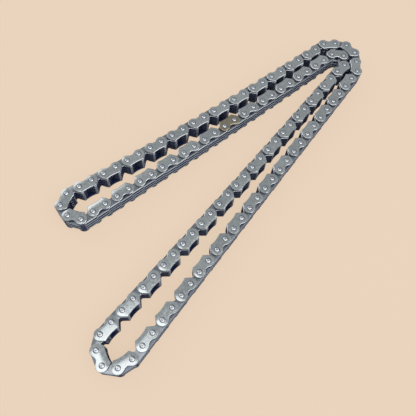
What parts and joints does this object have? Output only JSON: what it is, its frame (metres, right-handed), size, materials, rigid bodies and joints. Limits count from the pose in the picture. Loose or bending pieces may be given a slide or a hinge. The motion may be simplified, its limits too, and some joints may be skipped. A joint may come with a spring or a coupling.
{
  "type": "timing chain",
  "caption": "Closed toothed-plate timing chain with outside guide plates on riveted pins, lying on its side, folded at a bend.",
  "frame": {"origin": "middle of the folded loop, on the plane that the lower pin heads stand on", "axes": "+X along the fold towards its bend, +Z along the pins, up as it lies on its side"},
  "size_m": [0.2074, 0.081, 0.0094],
  "materials": {
    "guide_plate_steel": "satin, tumbled",
    "tooth_plate_steel": "satin, blued by hardening",
    "pin_steel": "ground, riveted ends",
    "closing_plate_steel": "bronze-coloured plating"
  },
  "bodies": {
    "short_outer_first": {"short_outer_first_guide_plates": "guide_plate_steel", "short_outer_first_tooth_plates": "tooth_plate_steel", "short_outer_first_pins": "pin_steel"},
    "short_outer_second": {"short_outer_second_guide_plates": "guide_plate_steel", "short_outer_second_tooth_plates": "tooth_plate_steel", "short_outer_second_pins": "pin_steel"},
    "short_outer_third": {"short_outer_third_guide_plates": "guide_plate_steel", "short_outer_third_tooth_plates": "tooth_plate_steel", "short_outer_third_pins": "pin_steel"},
    "outer_bend_link_1": {"outer_bend_link_1_plates": "guide_plate_steel", "outer_bend_link_1_pins": "pin_steel"},
    "outer_bend_link_2": {"outer_bend_link_2_tooth_plates": "tooth_plate_steel"},
    "outer_bend_link_3": {"outer_bend_link_3_plates": "guide_plate_steel", "outer_bend_link_3_pins": "pin_steel"},
    "outer_bend_link_4": {"outer_bend_link_4_tooth_plates": "tooth_plate_steel"},
    "long_outer_first": {"long_outer_first_guide_plates": "guide_plate_steel", "long_outer_first_tooth_plates": "tooth_plate_steel", "long_outer_first_pins": "pin_steel"},
    "long_outer_second": {"long_outer_second_guide_plates": "guide_plate_steel", "long_outer_second_tooth_plates": "tooth_plate_steel", "long_outer_second_pins": "pin_steel"},
    "long_outer_third": {"long_outer_third_guide_plates": "guide_plate_steel", "long_outer_third_tooth_plates": "tooth_plate_steel", "long_outer_third_pins": "pin_steel"},
    "long_end_link_1": {"long_end_link_1_plates": "guide_plate_steel", "long_end_link_1_pins": "pin_steel"},
    "long_end_link_2": {"long_end_link_2_tooth_plates": "tooth_plate_steel"},
    "long_end_link_3": {"long_end_link_3_plates": "guide_plate_steel", "long_end_link_3_pins": "pin_steel"},
    "long_end_link_4": {"long_end_link_4_tooth_plates": "tooth_plate_steel"},
    "long_inner_first": {"long_inner_first_guide_plates": "guide_plate_steel", "long_inner_first_tooth_plates": "tooth_plate_steel", "long_inner_first_pins": "pin_steel"},
    "long_inner_second": {"long_inner_second_guide_plates": "guide_plate_steel", "long_inner_second_tooth_plates": "tooth_plate_steel", "long_inner_second_pins": "pin_steel"},
    "long_inner_third": {"long_inner_third_guide_plates": "guide_plate_steel", "long_inner_third_tooth_plates": "tooth_plate_steel", "long_inner_third_pins": "pin_steel"},
    "inner_bend_link_1": {"inner_bend_link_1_plates": "guide_plate_steel", "inner_bend_link_1_pins": "pin_steel"},
    "inner_bend_link_2": {"inner_bend_link_2_tooth_plates": "tooth_plate_steel"},
    "inner_bend_link_3": {"inner_bend_link_3_plates": "guide_plate_steel", "inner_bend_link_3_pins": "pin_steel"},
    "short_inner_first": {"short_inner_first_guide_plates": "guide_plate_steel", "short_inner_first_tooth_plates": "tooth_plate_steel", "short_inner_first_pins": "pin_steel"},
    "short_inner_second": {"short_inner_second_guide_plates": "guide_plate_steel", "short_inner_second_tooth_plates": "tooth_plate_steel", "short_inner_second_pins": "pin_steel", "closing_plate": "closing_plate_steel"},
    "short_inner_third": {"short_inner_third_guide_plates": "guide_plate_steel", "short_inner_third_tooth_plates": "tooth_plate_steel", "short_inner_third_pins": "pin_steel"},
    "short_end_link_1": {"short_end_link_1_plates": "guide_plate_steel", "short_end_link_1_pins": "pin_steel"},
    "short_end_link_2": {"short_end_link_2_tooth_plates": "tooth_plate_steel"},
    "short_end_link_3": {"short_end_link_3_plates": "guide_plate_steel", "short_end_link_3_pins": "pin_steel"}
  },
  "joints": [
    {"name": "outer_bend_pivot_5", "type": "hinge", "parent": "long_outer_first", "child": "outer_bend_link_4", "pos_m": [0.09584, -0.00606, 0.0047], "axis": [0, 0, 1], "range_deg": [-21.33, 2.54]},
    {"name": "outer_bend_pivot_4", "type": "hinge", "parent": "outer_bend_link_4", "child": "outer_bend_link_3", "pos_m": [0.10021, -0.00146, 0.0047], "axis": [0, 0, 1], "range_deg": [-25.93, 3.09]},
    {"name": "outer_bend_pivot_3", "type": "hinge", "parent": "outer_bend_link_3", "child": "outer_bend_link_2", "pos_m": [0.10103, 0.00484, 0.0047], "axis": [0, 0, 1], "range_deg": [-5.05, 42.35]},
    {"name": "outer_bend_pivot_2", "type": "hinge", "parent": "outer_bend_link_2", "child": "outer_bend_link_1", "pos_m": [0.09741, 0.01006, 0.0047], "axis": [0, 0, 1], "range_deg": [-18.65, 2.23]},
    {"name": "outer_bend_pivot_1", "type": "hinge", "parent": "outer_bend_link_1", "child": "short_outer_third", "pos_m": [0.09249, 0.01407, 0.0047], "axis": [0, 0, 1], "range_deg": [-18.45, 2.2]},
    {"name": "short_outer_pivot_2", "type": "hinge", "parent": "short_outer_third", "child": "short_outer_second", "pos_m": [0.04205, 0.02011, 0.0047], "axis": [0, 0, 1], "range_deg": [-3.84, 3.84]},
    {"name": "short_outer_pivot_1", "type": "hinge", "parent": "short_outer_second", "child": "short_outer_first", "pos_m": [-0.00819, 0.02762, 0.0047], "axis": [0, 0, 1], "range_deg": [-4.61, 4.61]},
    {"name": "short_end_pivot_4", "type": "hinge", "parent": "short_outer_first", "child": "short_end_link_3", "pos_m": [-0.06442, 0.0378, 0.0047], "axis": [0, 0, 1], "range_deg": [-2.29, 2.29]},
    {"name": "short_end_pivot_3", "type": "hinge", "parent": "short_end_link_3", "child": "short_end_link_2", "pos_m": [-0.07013, 0.03503, 0.0047], "axis": [0, 0, 1], "range_deg": [-6.97, 6.97]},
    {"name": "short_end_pivot_2", "type": "hinge", "parent": "short_end_link_2", "child": "short_end_link_1", "pos_m": [-0.07092, 0.02873, 0.0047], "axis": [0, 0, 1], "range_deg": [-5.09, 5.09]},
    {"name": "short_end_pivot_1", "type": "hinge", "parent": "short_end_link_1", "child": "short_inner_third", "pos_m": [-0.06776, 0.02322, 0.0047], "axis": [0, 0, 1], "range_deg": [-4.02, 4.02]},
    {"name": "short_inner_pivot", "type": "hinge", "parent": "short_inner_third", "child": "short_inner_second", "pos_m": [-0.01732, 0.01716, 0.0047], "axis": [0, 0, 1], "range_deg": [-2.95, 2.95]},
    {"name": "long_outer_pivot_1", "type": "hinge", "parent": "long_outer_first", "child": "long_outer_second", "pos_m": [0.03455, -0.01864, 0.0047], "axis": [0, 0, 1], "range_deg": [-3.91, 3.91]},
    {"name": "long_outer_pivot_2", "type": "hinge", "parent": "long_outer_second", "child": "long_outer_third", "pos_m": [-0.02824, -0.02812, 0.0047], "axis": [0, 0, 1], "range_deg": [-3.97, 3.97]},
    {"name": "long_end_pivot_1", "type": "hinge", "parent": "long_outer_third", "child": "long_end_link_1", "pos_m": [-0.091, -0.0378, 0.0047], "axis": [0, 0, 1], "range_deg": [-3.04, 3.04]},
    {"name": "long_end_pivot_2", "type": "hinge", "parent": "long_end_link_1", "child": "long_end_link_2", "pos_m": [-0.09721, -0.03647, 0.0047], "axis": [0, 0, 1], "range_deg": [-6.47, 6.47]},
    {"name": "long_end_pivot_3", "type": "hinge", "parent": "long_end_link_2", "child": "long_end_link_3", "pos_m": [-0.10103, -0.0314, 0.0047], "axis": [0, 0, 1], "range_deg": [-4.69, 4.69]},
    {"name": "long_end_pivot_4", "type": "hinge", "parent": "long_end_link_3", "child": "long_end_link_4", "pos_m": [-0.09898, -0.02539, 0.0047], "axis": [0, 0, 1], "range_deg": [-3.55, 3.55]},
    {"name": "long_end_pivot_5", "type": "hinge", "parent": "long_end_link_4", "child": "long_inner_first", "pos_m": [-0.09385, -0.02164, 0.0047], "axis": [0, 0, 1], "range_deg": [-1.17, 1.17]},
    {"name": "long_inner_pivot_1", "type": "hinge", "parent": "long_inner_first", "child": "long_inner_second", "pos_m": [-0.03065, -0.01552, 0.0047], "axis": [0, 0, 1], "range_deg": [-3.69, 3.69]},
    {"name": "long_inner_pivot_2", "type": "hinge", "parent": "long_inner_second", "child": "long_inner_third", "pos_m": [0.02618, -0.00952, 0.0047], "axis": [0, 0, 1], "range_deg": [-4.08, 4.08]},
    {"name": "inner_bend_pivot_1", "type": "hinge", "parent": "long_inner_third", "child": "inner_bend_link_1", "pos_m": [0.08297, -0.00306, 0.0047], "axis": [0, 0, 1], "range_deg": [-0.62, 5.23]},
    {"name": "inner_bend_pivot_2", "type": "hinge", "parent": "inner_bend_link_1", "child": "inner_bend_link_2", "pos_m": [0.08932, -0.00298, 0.0047], "axis": [0, 0, 1], "range_deg": [-15.15, 1.81]},
    {"name": "inner_bend_pivot_3", "type": "hinge", "parent": "inner_bend_link_2", "child": "inner_bend_link_3", "pos_m": [0.09398, 0.00133, 0.0047], "axis": [0, 0, 1], "range_deg": [-19.97, 2.38]},
    {"name": "inner_bend_pivot_4", "type": "hinge", "parent": "inner_bend_link_3", "child": "short_inner_first", "pos_m": [0.09008, 0.00634, 0.0047], "axis": [0, 0, 1], "range_deg": [-12.11, 1.45]}
  ],
  "couplings": [
    {"joint": "outer_bend_pivot_5", "follows": "outer_bend_pivot_1", "ratio": 1.1561},
    {"joint": "outer_bend_pivot_4", "follows": "outer_bend_pivot_1", "ratio": 1.4051},
    {"joint": "outer_bend_pivot_3", "follows": "outer_bend_pivot_1", "ratio": -2.2952},
    {"joint": "outer_bend_pivot_2", "follows": "outer_bend_pivot_1", "ratio": 1.0108},
    {"joint": "short_outer_pivot_2", "follows": "short_end_pivot_4", "ratio": -1.6777},
    {"joint": "short_outer_pivot_1", "follows": "short_end_pivot_4", "ratio": -2.0108},
    {"joint": "short_end_pivot_3", "follows": "short_end_pivot_4", "ratio": 3.0443},
    {"joint": "short_end_pivot_2", "follows": "short_end_pivot_4", "ratio": -2.2231},
    {"joint": "short_end_pivot_1", "follows": "short_end_pivot_4", "ratio": -1.7563},
    {"joint": "short_inner_pivot", "follows": "short_end_pivot_4", "ratio": 1.2856},
    {"joint": "long_outer_pivot_1", "follows": "long_inner_pivot_1", "ratio": -1.0586},
    {"joint": "long_outer_pivot_2", "follows": "long_inner_pivot_1", "ratio": -1.0749},
    {"joint": "long_end_pivot_1", "follows": "long_inner_pivot_1", "ratio": 0.82404},
    {"joint": "long_end_pivot_2", "follows": "long_inner_pivot_1", "ratio": 1.7529},
    {"joint": "long_end_pivot_3", "follows": "long_inner_pivot_1", "ratio": -1.2698},
    {"joint": "long_end_pivot_4", "follows": "long_inner_pivot_1", "ratio": -0.9617},
    {"joint": "long_end_pivot_5", "follows": "long_inner_pivot_1", "ratio": -0.31773},
    {"joint": "long_inner_pivot_2", "follows": "long_inner_pivot_1", "ratio": 1.1057},
    {"joint": "inner_bend_pivot_1", "follows": "outer_bend_pivot_1", "ratio": -0.28325},
    {"joint": "inner_bend_pivot_2", "follows": "outer_bend_pivot_1", "ratio": 0.82122},
    {"joint": "inner_bend_pivot_3", "follows": "outer_bend_pivot_1", "ratio": 1.0825},
    {"joint": "inner_bend_pivot_4", "follows": "outer_bend_pivot_1", "ratio": 0.65638}
  ]
}
